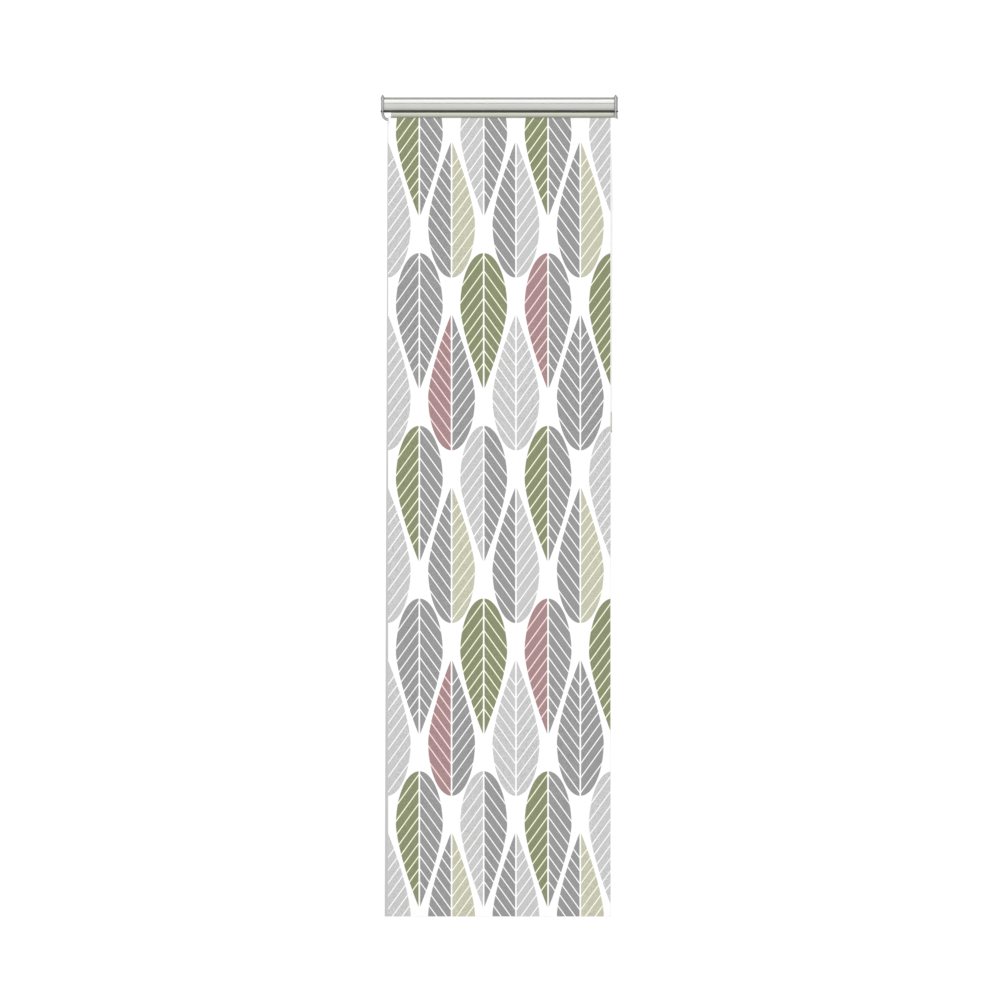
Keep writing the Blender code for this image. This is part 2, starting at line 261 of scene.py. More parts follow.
def smooth_rows(rows, steps):
    """More rows between the given ones, on a smooth curve through them.

    A row starts with the three coordinates of its place, which say how far apart rows are.
    """
    marks = [0.0]
    for before, after in zip(rows, rows[1:]):
        marks.append(marks[-1] + math.dist(before[:3], after[:3]))
    slopes = []
    for i in range(len(rows)):
        low, high = max(i - 1, 0), min(i + 1, len(rows) - 1)
        gap = marks[high] - marks[low]
        slopes.append([(after - before) / gap for before, after in zip(rows[low], rows[high])])
    found = []
    for i in range(len(rows) - 1):
        gap = marks[i + 1] - marks[i]
        for step in range(steps):
            found.append(hermite(rows[i], rows[i + 1], slopes[i], slopes[i + 1], gap, step / steps))
    return found + [list(rows[-1])]


def hermite(start, end, slope_in, slope_out, gap, share):
    """A row between two others, on a cubic with the given slopes at its ends."""
    leaving = share * (1 - share) ** 2 * gap
    arriving = share ** 2 * (share - 1) * gap
    weight = share * share * (3 - 2 * share)
    return [
        a + (b - a) * weight + m * leaving + n * arriving
        for a, b, m, n in zip(start, end, slope_in, slope_out)
    ]


def loft(shape, rings, finishes=None):
    """Closes a row of sections, each a ring of as many points, into one solid.

    finishes names the finish of each side of a ring, where there is more than one.
    """
    for first, second in zip(rings, rings[1:]):
        for i in range(len(first)):
            j = (i + 1) % len(first)
            side = shape.faces.new((first[i], first[j], second[j], second[i]))
            side.material_index = finishes[i] if finishes else 0
    shape.faces.new(rings[0])
    shape.faces.new(rings[-1])


# ---- rail


def bulge_forward(share):
    if share < BULGE_PEAK:
        return RAIL_DEPTH - BULGE_RISE * ((BULGE_PEAK - share) / BULGE_PEAK) ** 2
    fall = (share - BULGE_PEAK) / (1 - BULGE_PEAK)
    return RAIL_DEPTH - (RAIL_DEPTH - FOOT_FORWARD) * fall ** BULGE_TURN


def bulge(steps, start=0.0, end=1.0, inset=0.0):
    height = BULGE_BOTTOM - BULGE_TOP
    shares = [start + (end - start) * i / steps for i in range(steps + 1)]
    return [(bulge_forward(share) - inset, BULGE_TOP + height * share) for share in shares]


def upper_band(steps=6):
    """The upper band, a little crowned."""
    points = []
    for i in range(steps + 1):
        share = i / steps
        swell = BAND_CROWN * math.sin(math.pi * share)
        forward = UPPER_FORWARD + (STEP_FORWARD - UPPER_FORWARD) * share + swell
        points.append((forward, BAND_TOP + (BAND_BOTTOM - BAND_TOP) * share))
    return points


def rolled_foot(steps=5):
    """Where the upper band turns under, above the bulge."""
    points = []
    for i in range(1, steps + 1):
        angle = math.pi / 2 * i / steps
        forward = STEP_FORWARD - ROLL * (1 - math.cos(angle))
        points.append((forward, BAND_BOTTOM + ROLL_HEIGHT * math.sin(angle)))
    return points


def rail_front():
    return [
        (CLIP_RECESS, PAD_TOP),
        (CLIP_RECESS, 0.0),
        *arc(NOSE_FORWARD, NOSE_RADIUS, NOSE_RADIUS, 90, -60, 20),
        (NOSE_FORWARD + 0.9, BAND_TOP - 0.1),
        *upper_band(),
        *rolled_foot(),
        *bulge(24),
        (LEDGE_FORWARD, BULGE_BOTTOM),
    ]


def head_rail(finish, nose_shade_paint):
    ledge_top = BULGE_BOTTOM - WALL
    inside = [
        (SLOT_FRONT, BULGE_BOTTOM),
        (SLOT_FRONT, ledge_top),
        (LEDGE_FORWARD, ledge_top),
        *bulge(10, 0.9, 0.1, inset=WALL),
        (UPPER_FORWARD - WALL, BAND_TOP + WALL),
        (NOSE_FORWARD - WALL, BAND_TOP + WALL),
        (NOSE_FORWARD - NOSE_RADIUS, WALL),
        (CLIP_RECESS + WALL, WALL),
        (CLIP_RECESS + WALL, PAD_TOP + WALL),
        (WALL, PAD_TOP + WALL),
        (WALL, ledge_top),
        (SLOT_BACK, ledge_top),
        (SLOT_BACK, BULGE_BOTTOM),
        (WALL, BULGE_BOTTOM),
        (WALL, PAD_BOTTOM),
    ]
    outline = [(0.0, PAD_BOTTOM), (0.0, PAD_TOP), *rail_front(), *inside]
    rail = prism("rail", outline, RAIL_LOW.x, RAIL_HIGH.x, finish)
    rail.data.materials.append(nose_shade_paint)
    # The nose's front faces take the darker nose colour: painted shade.
    for face in rail.data.polygons:
        forward, down = -face.center.y / MM, TOP - face.center.z / MM
        if forward > NOSE_FORWARD - 2 and down < BAND_TOP and abs(face.normal.x) < 0.5:
            face.material_index = 1
    soften(rail, 0.25)
    return finish_piece(rail, "silver_aluminium", "head_rail")


def rail_strip(finish):
    back, front = -STRIP_HIGH.y, -STRIP_LOW.y
    top, bottom = TOP - STRIP_HIGH.z - 0.3, TOP - STRIP_LOW.z
    chamfer = 0.8
    outline = [
        (back, top),
        (front, top),
        *arc(front - chamfer, bottom - chamfer, chamfer, 0, -90, 5),
        (back, bottom),
    ]
    strip = prism("strip", outline, STRIP_LOW.x, STRIP_HIGH.x, finish)
    soften(strip, 0.3)
    return finish_piece(strip, "dark_plastic", "rail_strip")


def stud(shape, side, base, tip):
    """A round stud with a domed end, from base to tip along X."""
    rings = []
    for share, radius in ((0.0, 1.0), (0.55, 1.0), (0.75, 0.94), (0.9, 0.8), (1.0, 0.55)):
        x = side * (base + (tip - base) * share)
        circle = arc(NOSE_FORWARD, NOSE_RADIUS, STUD_RADIUS * radius, 0, 345, 23)
        rings.append([shape.verts.new(place(x, f, d)) for f, d in circle])
    loft(shape, rings)


def rail_end(side, finish):
    """A rounded end plate, with the stud that shows outside the clip."""
    inner = END_LOW.x
    outer = inner + END_PLATE
    outline = [(0.0, BULGE_BOTTOM), (0.0, PAD_TOP), *rail_front()]
    name = "end_left" if side < 0 else "end_right"
    plate = prism(name, outline, side * inner, side * outer, finish)
    soften(plate, 0.3)
    shape = bmesh.new()
    stud(shape, side, outer, END_HIGH.x)
    knob = add_object(name + "_stud", shape, finish)
    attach(knob, "root")
    return finish_piece(plate, "grey_plastic", "rail_end_left" if side < 0 else "rail_end_right")


# ---- carrier bar


def bar_front(steps=20):
    """The bar's front: it leans out to its fullest and then turns under to the cloth."""
    points = arc(BAR_FRONT - BAR_LEAN - BAR_LIP, BAR_TOP + BAR_LIP, BAR_LIP, 80, 15, 6)
    for i in range(steps + 1):
        angle = math.pi / 2 * i / steps
        forward = BAR_FRONT - BAR_TUCK * (1 - math.cos(angle))
        points.append((forward, BAR_FULLEST + (BAR_BOTTOM - BAR_FULLEST) * math.sin(angle)))
    return points


def carrier_bar(finish):
    low, high = BAR_BOTTOM - BAR_CORNER, BAR_TOP + BAR_CORNER
    head_back, head_front = STEM_FORWARD - HEAD_WIDTH / 2, STEM_FORWARD + HEAD_WIDTH / 2
    stem_back, stem_front = STEM_FORWARD - STEM / 2, STEM_FORWARD + STEM / 2
    half_clamp = CLAMP_WIDTH / 2
    outline = [
        (stem_back, HEAD_TOP + HEAD_HEIGHT),
        (head_back, HEAD_TOP + HEAD_HEIGHT),
        (head_back, HEAD_TOP),
        (head_front, HEAD_TOP),
        (head_front, HEAD_TOP + HEAD_HEIGHT),
        (stem_front, HEAD_TOP + HEAD_HEIGHT),
        (stem_front, BAR_TOP),
        *bar_front(),
        (HANG + half_clamp, BAR_BOTTOM),
        (HANG + half_clamp, BAR_BOTTOM - CLAMP_DEPTH),
        (HANG - half_clamp, BAR_BOTTOM - CLAMP_DEPTH),
        (HANG - half_clamp, BAR_BOTTOM),
        *arc(BAR_BACK + BAR_CORNER, low, BAR_CORNER, 260, 180, 12),
        *arc(BAR_BACK + BAR_CORNER, high, BAR_CORNER, 180, 100, 12),
        (stem_back, BAR_TOP),
    ]
    bar = prism("carrier", outline, BAR_LOW.x, BAR_HIGH.x, finish)
    soften(bar, 0.4)
    return finish_piece(bar, "cream_plastic", "carrier_bar")


# ---- clips


def clip_path(side):
    """A clip's stations: (across, forward, down, outward as forward and down, turn of
    its width out of level, half-width, edge thickness, ridge height)."""
    bends = (
        # forward, down, half-width, edge, ridge
        (CLIP_LEG, 19.0, 4.7, CLIP_LEG, CLIP_LEG),
        (CLIP_LEG, -GAP, 4.7, CLIP_LEG, CLIP_LEG),
        (11.0, -GAP, 5.0, 1.2, 3.6),
        (25.0, -GAP, 5.4, 1.0, 6.4),
        (30.2, -GAP, 5.4, 1.0, 5.4),
        (33.9, 5.0, 4.8, 1.0, 3.0),
        (RAIL_DEPTH + GAP, 10.0, 4.0, 1.0, 2.8),
        (RAIL_DEPTH + GAP, 16.0, 4.7, 1.0, 2.9),
        (RAIL_DEPTH + GAP, 28.6, 4.7, 1.0, 2.9),
        (33.3, 32.5, 4.7, 1.0, 3.7),
        (32.4, 34.3, 4.6, 1.0, 4.3),
        (32.1, 35.3, NOTCH_HALF, 3.8, 4.3),
        (31.5, 40.6, NOTCH_HALF, 3.9, 4.4),
        (31.4, 41.6, 4.4, 1.0, 4.3),
    )
    centre, scale = (LEFT_CLIP, SLIM) if side < 0 else (RIGHT_CLIP, 1.0)
    stations = []
    for i, (forward, down, width, edge, ridge) in enumerate(bends):
        before = Vector(bends[max(i - 1, 0)][:2])
        after = Vector(bends[min(i + 1, len(bends) - 1)][:2])
        here = Vector((forward, down))
        ways = [step.normalized() for step in (here - before, after - here) if step.length > 0]
        outward = sum((Vector((way.y, -way.x)) for way in ways), Vector((0, 0))) / len(ways)
        outward /= outward.length_squared
        stations.append((centre, forward, down, outward.x, outward.y, 0.0, width * scale, edge, ridge))
    stations += tail(bends[-1]) if side < 0 else splayed_foot(bends[-1])
    # The leg and its corner keep their form, and the rest is one smooth sweep.
    return [list(station) for station in stations[:2]] + smooth_rows(stations[2:], 5)


def tail(foot, steps=9):
    forward, top, width, edge, ridge = foot
    points = []
    for i in range(1, steps + 1):
        angle = math.pi / 2 * i / steps
        x = LEFT_CLIP + TAIL_ACROSS * (1 - math.cos(angle))
        down = top + TAIL_DROP * math.sin(angle)
        turn = math.atan2(TAIL_ACROSS * math.sin(angle), TAIL_DROP * math.cos(angle))
        half = width * SLIM - TAIL_TAPER * i / steps
        points.append((x, forward, down, 1.0, 0.0, turn, half, edge, ridge))
    return points


def splayed_foot(foot):
    forward, top, _, edge, ridge = foot
    rows = (
        # inward, below, turn in degrees, half-width
        (-0.1, 3.9, -3.0, 4.8),
        (0.5, 9.9, -9.0, 6.2),
        (1.1, 14.4, -14.0, 7.5),
    )
    return [
        (RIGHT_CLIP - inward, forward, top + below, 1.0, 0.0, math.radians(turn), half, edge, ridge)
        for inward, below, turn, half in rows
    ]


def clip_section(width, edge, ridge):
    """A flat back, rounded edges and a ridge with hollow flanks, as (across, out)."""
    rise = ridge - edge
    crest = min(RIDGE_FLAT, 0.6 * width)
    flank = width - crest
    right = [
        (width, 0.25 * edge),
        (crest + 0.96 * flank, 0.65 * edge),
        (crest + 0.88 * flank, 0.92 * edge),
        (crest + 0.73 * flank, edge + 0.06 * rise),
        (crest + 0.49 * flank, edge + 0.26 * rise),
        (crest + 0.26 * flank, edge + 0.60 * rise),
        (crest + 0.10 * flank, edge + 0.86 * rise),
        (0.75 * crest, edge + 0.97 * rise),
        (0.35 * crest, ridge),
    ]
    left = [(-across, height) for across, height in reversed(right)]
    return [(-0.97 * width, 0.0), (0.97 * width, 0.0), *right, *left]


def rail_clip(side, ridge_finish, flank_finish):
    shape = bmesh.new()
    rings = []
    for x, forward, down, out_forward, out_down, turn, width, edge, ridge in clip_path(side):
        centre = place(x, forward, down)
        level = Vector((math.cos(turn), 0, math.sin(turn))) * MM
        outward = Vector((0, -out_forward, -out_down)) * MM
        section = clip_section(width, edge, ridge)
        rings.append([shape.verts.new(centre + level * a + outward * b) for a, b in section])
    sides = len(rings[0])
    # The crest takes the paler ridge colour and the flanks the darker one: painted light and shade across
    # the clip.
    crest = range(sides // 2 - 2, sides // 2 + 3)
    loft(shape, rings, [0 if i in crest else 1 for i in range(sides)])
    name = "left" if side < 0 else "right"
    clip = add_object("clip_" + name, shape, ridge_finish, flank_finish)
    # Painted shade on the clip's top and painted light over the notch, by which colour each face takes.
    for face in clip.data.polygons:
        down = TOP - face.center.z / MM
        if down < RIDGE_LIT_FROM:
            face.material_index = 1
        elif NOTCH_TOP < down < NOTCH_BOTTOM:
            face.material_index = 0
    return finish_piece(clip, "clip_metal", "rail_clip_" + name)


# ---- cloth


def cloth_forward(x, share):
    waves = sum(h * math.sin(math.tau * (x / length + phase)) for h, length, phase in WAVES)
    sway = SWAY * math.sin(math.pi * SWAY_TURNS * share)
    return HANG + (waves + sway + TWIST * x / PRINT_RIGHT) * share ** GROWTH


def left_selvedge(share):
    return SELVEDGE + LEFT_SPREAD * share


def right_selvedge(share):
    return SELVEDGE + RIGHT_SPREAD * smooth(share / 0.1) * smooth((0.62 - share) / 0.5)


def cloth_row(share, steps=4):
    """One level row of the cloth's middle surface, as (x, forward)."""
    settled = smooth(share / 0.04)
    points = []
    for i in range(COLUMNS + 1):
        x = PRINT_LEFT + (PRINT_RIGHT - PRINT_LEFT) * i / COLUMNS
        points.append((x, cloth_forward(x, share)))
    (first_x, first_forward), (last_x, last_forward) = points[0], points[-1]
    left = []
    right = []
    for i in range(steps, 0, -1):
        out = left_selvedge(share) * i / steps
        left.append((first_x - out, first_forward - LEFT_LEAN * out * settled))
    for i in range(1, steps + 1):
        out = right_selvedge(share) * i / steps
        right.append((last_x + out, last_forward - RIGHT_LEAN * out * settled))
    return left + points + right


def cloth_grid():
    """The middle surface's points, row by row from the head down."""
    grid = []
    for i in range(ROWS + 1):
        share = i / ROWS
        down = CLOTH_TOP + (CLOTH_FOOT - CLOTH_TOP) * share
        grid.append([place(x, forward, down) for x, forward in cloth_row(share)])
    return grid


def surface_normal(grid, i, j):
    """The way out to the room at a point of a grid."""
    along = grid[i][min(j + 1, len(grid[i]) - 1)] - grid[i][max(j - 1, 0)]
    down = grid[min(i + 1, len(grid) - 1)][j] - grid[max(i - 1, 0)][j]
    return down.cross(along).normalized()


def thick_sheet(name, grid, thickness, front, back, rim):
    """Gives a grid its two faces and a rounded rim, each with its own finish."""
    shape = bmesh.new()
    last_row, last_column = len(grid) - 1, len(grid[0]) - 1
    half = thickness / 2 * MM
    layers = []
    for side in (1, -1):
        layer = []
        for i, row in enumerate(grid):
            layer.append([
                shape.verts.new(point + surface_normal(grid, i, j) * half * side)
                for j, point in enumerate(row)
            ])
        layers.append(layer)
    for finish, layer in enumerate(layers):
        for upper, lower in zip(layer, layer[1:]):
            for j in range(last_column):
                face = shape.faces.new((upper[j], upper[j + 1], lower[j + 1], lower[j]))
                face.material_index = finish
    ring = [(0, j) for j in range(last_column)]
    ring += [(i, last_column) for i in range(last_row)]
    ring += [(last_row, j) for j in range(last_column, 0, -1)]
    ring += [(i, 0) for i in range(last_row, 0, -1)]
    middle = []
    for i, j in ring:
        inside = grid[min(max(i, 1), last_row - 1)][min(max(j, 1), last_column - 1)]
        outward = (grid[i][j] - inside).normalized()
        middle.append(shape.verts.new(grid[i][j] + outward * half * 0.7))
    for n, (i, j) in enumerate(ring):
        following = (n + 1) % len(ring)
        k, m = ring[following]
        for layer in layers:
            face = shape.faces.new((layer[i][j], layer[k][m], middle[following], middle[n]))
            face.material_index = 2
    return add_object(name, shape, front, back, rim)


def cloth_panel(front, back, rim):
    panel = thick_sheet("panel", cloth_grid(), CLOTH, front, back, rim)
    return finish_piece(panel, "printed_cloth", "cloth_panel")


def behind_cloth(x, share):
    """How far forward a face may stand at x, just behind the cloth's back."""
    beyond = max(0.0, x - PRINT_RIGHT)
    slope = RIGHT_LEAN if x >= PRINT_RIGHT else 0.0
    clear = (CLOTH / 2 + TAB_CLEAR) * math.hypot(1.0, slope)
    return cloth_forward(min(x, PRINT_RIGHT), share) - slope * beyond - clear


def side_tab(finish):
    """A folded tape behind the right edge, whose foot is turned up."""
    top, height = TOP - TAB_HIGH.z, TAB_HIGH.z - TAB_LOW.z
    fold = height - TAB_FOLD
    levels = (
        # below the tab's top, thickness
        (0.0, 0.55),
        (0.35, 0.9),
        (1.0, TAB_THICKNESS),
        (fold * 0.25, TAB_THICKNESS),
        (fold * 0.5, TAB_THICKNESS),
        (fold * 0.75, TAB_THICKNESS),
        (fold - 0.4, TAB_THICKNESS),
        (fold, TAB_THICKNESS + 0.1),
        (fold + 0.6, TAB_FOLD_THICKNESS),
        (height - 1.2, TAB_FOLD_THICKNESS),
        (height - 0.4, TAB_FOLD_THICKNESS * 0.8),
        (height, TAB_FOLD_THICKNESS * 0.4),
    )
    left, right = TAB_LOW.x, TAB_HIGH.x
    across = [left + (PRINT_RIGHT - left) * i / 4 for i in range(5)]
    across += [PRINT_RIGHT + (right - PRINT_RIGHT) * i / 3 for i in range(1, 4)]
    shape = bmesh.new()
    rings = []
    for below, thickness in levels:
        share = (top + below - CLOTH_TOP) / (CLOTH_FOOT - CLOTH_TOP)
        inset = (TAB_THICKNESS - min(thickness, TAB_THICKNESS)) / 2
        front = [(x, behind_cloth(x, share) - inset) for x in across]
        back = [(x, forward - thickness) for x, forward in reversed(front)]
        rings.append([shape.verts.new(place(x, forward, top + below)) for x, forward in front + back])
    loft(shape, rings)
    tab = add_object("tab", shape, finish)
    soften(tab, 0.15, angle=60)
    return finish_piece(tab, "beige_tape", "side_tab")


# ---- materials


class Term:
    """A number worked out by shader nodes, which adds and multiplies like any other."""

    def __init__(self, tree, socket):
        self.tree = tree
        self.socket = socket

    def work_out(self, operation, *others):
        node = self.tree.nodes.new("ShaderNodeMath")
        node.operation = operation
        for slot, value in zip(node.inputs, (self, *others)):
            if isinstance(value, Term):
                self.tree.links.new(value.socket, slot)
            else:
                slot.default_value = value
        return Term(self.tree, node.outputs[0])

    def __add__(self, other):
        return self.work_out("ADD", other)

    def __mul__(self, other):
        return self.work_out("MULTIPLY", other)

    def __sub__(self, other):
        return self.work_out("SUBTRACT", other)

    def __truediv__(self, other):
        return self.work_out("DIVIDE", other)

    def __rsub__(self, other):
        return self * -1 + other

    __radd__ = __add__
    __rmul__ = __mul__

    def power(self, exponent):
        return self.work_out("POWER", exponent)

    def sine(self):
        return self.work_out("SINE")

    def absolute(self):
        return self.work_out("ABSOLUTE")

    def floor(self):
        return self.work_out("FLOOR")

    def wrapped(self, period):
        return self.work_out("FLOORED_MODULO", period)

    def over(self, limit):
        return self.work_out("GREATER_THAN", limit)

    def between(self, low, high):
        return self.work_out("MAXIMUM", low).work_out("MINIMUM", high)


def new_finish(name, roughness, metallic=0.0, sheen=0.0):
    """A material, its tree and its shader, with what is the same all over set on it."""
    made = bpy.data.materials.new(name)
    made.use_nodes = True
    shader = made.node_tree.nodes["Principled BSDF"]
    shader.inputs["Roughness"].default_value = roughness
    shader.inputs["Metallic"].default_value = metallic
    shader.inputs["Sheen Weight"].default_value = sheen
    return made, made.node_tree, shader


def position(tree):
    """The three coordinates of the shaded point in the frame, in millimetres."""
    spot = tree.nodes.new("ShaderNodeTexCoord")
    parts = tree.nodes.new("ShaderNodeSeparateXYZ")
    tree.links.new(spot.outputs["Object"], parts.inputs[0])
    return [Term(tree, part) / MM for part in parts.outputs]


def noise(tree, size, detail=2.0, seed=0.0):
    """Noise from 0 to 1 whose blots are size = (x, y, z) millimetres."""
    point = tree.nodes.new("ShaderNodeCombineXYZ")
    for slot, value, length in zip(point.inputs, position(tree), size):
        tree.links.new((value / length + seed).socket, slot)
    texture = tree.nodes.new("ShaderNodeTexNoise")
    texture.inputs["Scale"].default_value = 1.0
    texture.inputs["Detail"].default_value = detail
    tree.links.new(point.outputs[0], texture.inputs["Vector"])
    return Term(tree, texture.outputs[0])


def bump(tree, shader, height):
    """Raises the surface by a height in millimetres."""
    node = tree.nodes.new("ShaderNodeBump")
    node.inputs["Strength"].default_value = 1.0
    node.inputs["Distance"].default_value = MM
    tree.links.new(height.socket, node.inputs["Height"])
    tree.links.new(node.outputs[0], shader.inputs["Normal"])


def mix(tree, share, first, second):
    """A colour between two, each a socket or red, green and blue."""
    node = tree.nodes.new("ShaderNodeMix")
    node.data_type = "RGBA"
    tree.links.new(share.socket, node.inputs["Factor"])
    colours = [slot for slot in node.inputs if slot.type == "RGBA"]
    for slot, colour in zip(colours, (first, second)):
        if isinstance(colour, bpy.types.NodeSocket):
            tree.links.new(colour, slot)
        else:
            slot.default_value = (*colour, 1.0)
    return next(slot for slot in node.outputs if slot.type == "RGBA")


def tone(colour, share):
    return tuple(part * share for part in colour)


def shade(tree, colour, amount):
    """A colour socket made brighter or darker by a number that varies."""
    node = tree.nodes.new("ShaderNodeVectorMath")
    node.operation = "SCALE"
    tree.links.new(colour, node.inputs[0])
    tree.links.new(amount.socket, node.inputs["Scale"])
    return node.outputs[0]


def mottled(name, colour, spread, size, roughness, metallic=0.0, grain=0.0):
    """A finish whose colour and roughness drift a little, with a fine raised grain."""
    made, tree, shader = new_finish(name, roughness, metallic)
    drift = noise(tree, size)
    base = mix(tree, drift, tone(colour, 1 - spread), tone(colour, 1 + spread))
    tree.links.new(base, shader.inputs["Base Color"])
    tree.links.new((drift * 0.16 + (roughness - 0.08)).socket, shader.inputs["Roughness"])
    if grain:
        bump(tree, shader, noise(tree, [length / 8 for length in size], seed=3.0) * grain)
    return made


def cream_with_painted_shade():
    """Cream plastic with painted light and shade: palest on the bar's upper lip and darkest along its
    lower one.
    """
    made, tree, shader = new_finish("cream", 0.42)
    down = TOP - position(tree)[2]
    # Painted shade: the colour falls in steps with depth below the rail's top.
    level = CREAM_TONE
    for start, height, amount in CREAM_PAINTED_SHADE:
        level = level - ((down - start) / height).between(0.0, 1.0) * amount
    drift = noise(tree, (90.0, 6.0, 6.0))
    base = mix(tree, drift, tone(CREAM, 0.97), tone(CREAM, 1.03))
    tree.links.new(shade(tree, base, level), shader.inputs["Base Color"])
    bump(tree, shader, noise(tree, (11.0, 0.8, 0.8), seed=3.0) * 0.015)
    return made


def clip_metal(name, colour, roughness, top, height):
    """Brushed metal with painted shade: half as bright at its top and full from a height below that on.
    """
    made = brushed_metal(name, colour, roughness)
    tree = made.node_tree
    slot = tree.nodes["Principled BSDF"].inputs["Base Color"]
    down = TOP - position(tree)[2]
    # Painted shade on the clip's top: the colour rises from half to full down that height.
    level = ((down - top) / height).between(0.0, 1.0) * 0.5 + 0.5
    tree.links.new(shade(tree, slot.links[0].from_socket, level), slot)
    return made


def nose_painted_shade():
    """Painted shade on the rail's nose: half metallic and darker than the rail, and darker still on its
    top millimetre.
    """
    made, tree, shader = new_finish("nose_shade_paint", 0.5, 0.5)
    down = TOP - position(tree)[2]
    # Painted shade: darker on the top millimetre, lighter below.
    level = ((down - 1.0) / 1.4).between(0.0, 1.0) * 0.55 + 0.65
    drift = noise(tree, (80.0, 5.0, 5.0))
    base = mix(tree, drift, (0.33, 0.33, 0.325), (0.35, 0.35, 0.345))
    tree.links.new(shade(tree, base, level), shader.inputs["Base Color"])
    return made


def screen(red, green, blue):
    """A colour given as a screen shows it, as the share of light that it sends back."""
    return tuple(((part / 255 + 0.055) / 1.055) ** 2.4 for part in (red, green, blue))


def paint(name):
    return tone(screen(*PAINTS[name]), 1 / DAYLIGHT)


def rib(name):
    """The colour of the bare veins in a leaf of that paint: white, with a little of its hue."""
    brightest = max(PAINTS[name])
    return tone(screen(*[255 - RIB_TINT * (brightest - part) for part in PAINTS[name]]), RIB_WHITE)


def crisp(distance):
    """1 well inside an edge and 0 outside it, from the distance inside."""
    return (distance / PRINT_EDGE + 0.5).between(0.0, 1.0)


def vein_root(n):
    """How far from a leaf's round end a vein leaves the midrib."""
    return FIRST_VEIN + VEIN_PITCH * n + VEIN_SPREAD * (1 - math.exp(-n / VEIN_FADE))


def leaf(across, along):
    """1 beside a leaf's midrib, and 1 on its printed cells, from a place in it.

    across is from the leaf's midrib and along from its round end, in millimetres.
    """
    out = across.absolute()
    rounding = ((LEAF_WIDEST - along) / LEAF_WIDEST).between(0.0, 1.0)
    taper = ((along - LEAF_WIDEST) / (LEAF_LENGTH - LEAF_WIDEST)).between(0.0, 1.0)
    half = (1 - rounding * rounding).power(0.5) * (1 - taper.power(LEAF_TAPER)) * LEAF_HALF
    leaves_at = along - out * VEIN_SLOPE
    from_vein = (leaves_at - vein_root(0)).absolute()
    for n in range(1, VEINS):
        from_vein = from_vein.work_out("MINIMUM", (leaves_at - vein_root(n)).absolute())
    from_vein = from_vein / math.hypot(1.0, VEIN_SLOPE)
    beside = crisp(half - out) * crisp(out - MIDRIB / 2)
    return beside, beside * crisp(from_vein - VEIN / 2)


def chart(tree, index, colours):
    """The colour at a whole-number index, from 0."""
    ramp = tree.nodes.new("ShaderNodeValToRGB")
    ramp.color_ramp.interpolation = "CONSTANT"
    steps = ramp.color_ramp.elements
    for i, colour in enumerate(colours):
        step = steps[i] if i < 2 else steps.new(i / len(colours))
        step.position = i / len(colours)
        step.color = (*colour, 1.0)
    tree.links.new(((index + 0.5) / len(colours)).socket, ramp.inputs[0])
    return ramp.outputs[0]


def leaves(tree, ground, heather, first_across, first_down, tip_up, table):
    """Prints one family of leaves on the ground colour."""
    x, _, z = position(tree)
    down = TOP - z
    column = ((x - first_across) / LEAF_PITCH + 0.5).floor()
    across = x - first_across - column * LEAF_PITCH
    row = ((down - first_down) / LEAF_DROP).floor()
    along = down - first_down - row * LEAF_DROP
    if tip_up:
        along = LEAF_LENGTH - along
    beside, cells = leaf(across, along)
    kinds = len(table[0])
    number = row.wrapped(len(table)) * kinds + column.wrapped(kinds)
    half = number * 2 + across.over(0.0)
    names = [name for line in table for pair in line for name in pair]
    bare = mix(tree, beside, ground, chart(tree, half, [rib(name) for name in names]))
    inked = shade(tree, chart(tree, half, [paint(name) for name in names]), heather)
    return mix(tree, cells, bare, inked)


def tape_colour(tree):
    """The tab's beige, duller on its turned-up foot."""
    fold = crisp(TAB_LOW.z + TAB_FOLD - position(tree)[2])
    return mix(tree, fold, TAPE, tone(TAPE, FOLD_TONE))


def printed_cloth(name, strength):
    """White cloth with its print, as strong as given, and its unprinted selvedges, which lean back and
    are darkened as painted shade.

    The tape's beige is painted on the thin right selvedge over the tab, as painted shade and
    show-through.
    """
    made, tree, shader = new_finish(name, 0.88, sheen=0.1)
    white = (GROUND, GROUND, GROUND)
    heather = (noise(tree, (1.7, 1.7, 1.7), detail=1.0) - 0.5) * GRAIN + 1
    heather = heather + (noise(tree, (24.0, 24.0, 24.0), seed=4.0) - 0.5) * DRIFT
    colour = leaves(tree, white, heather, A_ACROSS, A_DOWN, False, A_LEAVES)
    colour = leaves(tree, colour, heather, B_ACROSS, B_DOWN, True, B_LEAVES)
    if strength < 1:
        colour = mix(tree, heather * 0 + strength, white, colour)
    x, _, z = position(tree)
    # The left selvedge is painted grey: painted shade of the strip that leans back.
    colour = mix(tree, crisp(PRINT_LEFT - x), colour, (LEFT_SELVEDGE_SHADE,) * 3)
    # Painted shade and show-through: the tape's colour on the right selvedge where the tab lies behind
    # it.
    tab_painted_through = crisp(TAB_HIGH.z - z) * crisp(z - TAB_LOW.z)
    edge = mix(tree, tab_painted_through, tone(white, RIGHT_SELVEDGE_SHADE), tape_colour(tree))
    colour = mix(tree, crisp(x - PRINT_RIGHT), colour, edge)
    tree.links.new(colour, shader.inputs["Base Color"])
    bump(tree, shader, weave(tree, 0.9, 0.10))
    return made


def weave(tree, pitch, depth):
    """A plain weave: threads over and under, as thick as uneven yarn is."""
    x, _, z = position(tree)
    over = (x * (math.pi / pitch)).sine() * (z * (math.pi / pitch)).sine()
    slub = noise(tree, (0.8, 4.0, 14.0)) + noise(tree, (14.0, 4.0, 0.8), seed=5.0)
    return over * (depth / 2) + slub * (depth / 2)


